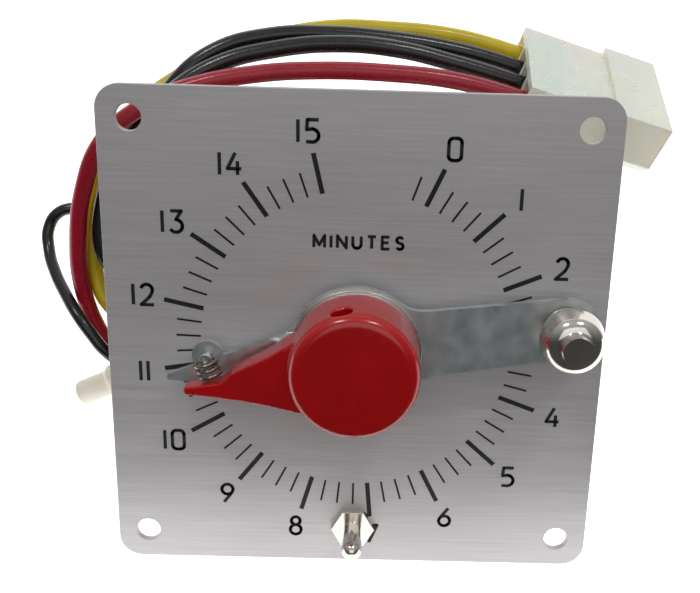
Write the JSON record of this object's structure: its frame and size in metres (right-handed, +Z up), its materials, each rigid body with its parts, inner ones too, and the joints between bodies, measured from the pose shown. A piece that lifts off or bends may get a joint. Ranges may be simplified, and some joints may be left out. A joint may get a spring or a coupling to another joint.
{
  "type": "panel timer",
  "caption": "Square panel-mounted minute timer with a red pointer knob, a set lever with a turned handle, a gear train, motor and limit switch behind the plate, and a wire harness with plug.",
  "frame": {"origin": "middle of the four corner holes, on the rear face of the dial plate", "axes": "+X to the right as seen from the front, +Z up with the scale upright, +Y back into the panel; the dial faces -Y"},
  "size_m": [0.1353, 0.0717, 0.1133],
  "materials": {
    "plate": "brushed",
    "brass": "turned",
    "plain_steel": "satin",
    "lever_steel": "satin",
    "nickel": "polished",
    "spring_steel": "satin",
    "red_plastic": "gloss",
    "black_screw": "black oxide",
    "motor_steel": "zinc plated",
    "black_rubber": "matt",
    "black_plastic": "matt",
    "button_red": "gloss",
    "fibre": "matt",
    "tinned": "tinned",
    "boot_red": "satin",
    "nylon": "translucent",
    "wire_red": "satin",
    "wire_yellow": "satin",
    "wire_black": "satin"
  },
  "bodies": {
    "panel": {"dial_plate": "plate", "panel_bushing": "brass", "bushing_nut": "plain_steel", "lock_washer": "plain_steel", "stop_stud": "nickel", "stop_stud_nut": "plain_steel", "front_frame": "plain_steel", "rear_frame": "plain_steel", "frame_pillars": "brass", "pillar_screws": "plain_steel", "arbor_bush": "brass", "intermediate_bushes": "brass", "motor_can": "motor_steel", "motor_cover": "motor_steel", "motor_screws": "plain_steel", "motor_grommet": "black_rubber", "switch_case": "black_plastic", "switch_lid": "black_plastic", "switch_pin": "plain_steel", "switch_tabs": "tinned", "switch_screws": "plain_steel", "terminal_boots": "boot_red", "harness_plug": "nylon", "plug_contacts": "tinned", "splice_cap": "nylon", "wire_red": "wire_red", "wire_black_near": "wire_black", "wire_black_far": "wire_black", "wire_yellow": "wire_yellow", "motor_lead_loop": "wire_black", "motor_lead_short": "wire_black"},
    "lever": {"set_lever": "lever_steel", "lever_sleeve": "plain_steel", "lever_handle": "nickel", "tip_rivet": "plain_steel", "bumper_spring": "spring_steel", "sleeve_collar": "brass", "friction_washer": "plain_steel"},
    "pointer": {"pointer_knob": "red_plastic", "knob_insert": "brass", "knob_set_screw": "black_screw", "hub_washers": "plain_steel", "main_arbor": "plain_steel", "return_spring": "spring_steel", "switch_cam": "black_plastic", "clutch_disc": "brass", "clutch_washer": "fibre"},
    "timing_wheel": {"timing_wheel": "brass"},
    "intermediate_gears": {"intermediate_pinion": "plain_steel", "intermediate_wheel": "brass"},
    "motor_pinion": {"motor_pinion": "brass"},
    "switch_leaf": {"switch_leaf": "plain_steel"},
    "switch_button": {"switch_button": "button_red"}
  },
  "joints": [
    {"name": "lever_turn", "type": "hinge", "parent": "panel", "child": "lever", "pos_m": [0, 0, 0], "axis": [0, 1, 0], "range_deg": [-248, 87]},
    {"name": "pointer_turn", "type": "hinge", "parent": "lever", "child": "pointer", "pos_m": [0, 0, 0], "axis": [0, 1, 0], "range_deg": [-233.4, 0], "stiffness_Nm_per_rad": 0.0008, "springref_deg": 114.59},
    {"name": "timing_wheel_turn", "type": "hinge", "parent": "panel", "child": "timing_wheel", "pos_m": [0, 0.0172, 0], "axis": [0, 1, 0], "range_deg": [-233.4, 0]},
    {"name": "intermediate_turn", "type": "hinge", "parent": "panel", "child": "intermediate_gears", "pos_m": [0.01782, 0.02, 0.01782], "axis": [0, 1, 0], "range_deg": [0, 1400.4]},
    {"name": "motor_pinion_turn", "type": "hinge", "parent": "panel", "child": "motor_pinion", "pos_m": [-0.00038, 0.024, 0.01782], "axis": [0, 1, 0], "range_deg": [-3909.45, 0]},
    {"name": "switch_leaf_swing", "type": "hinge", "parent": "panel", "child": "switch_leaf", "pos_m": [-0.0162, 0.0106, 0.0106], "axis": [0, 1, 0], "range_deg": [0, 3], "stiffness_Nm_per_rad": 0.002, "springref_deg": -11.46},
    {"name": "switch_button_press", "type": "slide", "parent": "panel", "child": "switch_button", "axis": [-1, 0, 0], "range_m": [0, 0.0004]}
  ],
  "couplings": [
    {"joint": "timing_wheel_turn", "follows": "pointer_turn", "ratio": 1},
    {"joint": "intermediate_turn", "follows": "pointer_turn", "ratio": -6},
    {"joint": "motor_pinion_turn", "follows": "pointer_turn", "ratio": 16.75},
    {"joint": "switch_button_press", "follows": "switch_leaf_swing", "m_per_rad": 0.007}
  ]
}
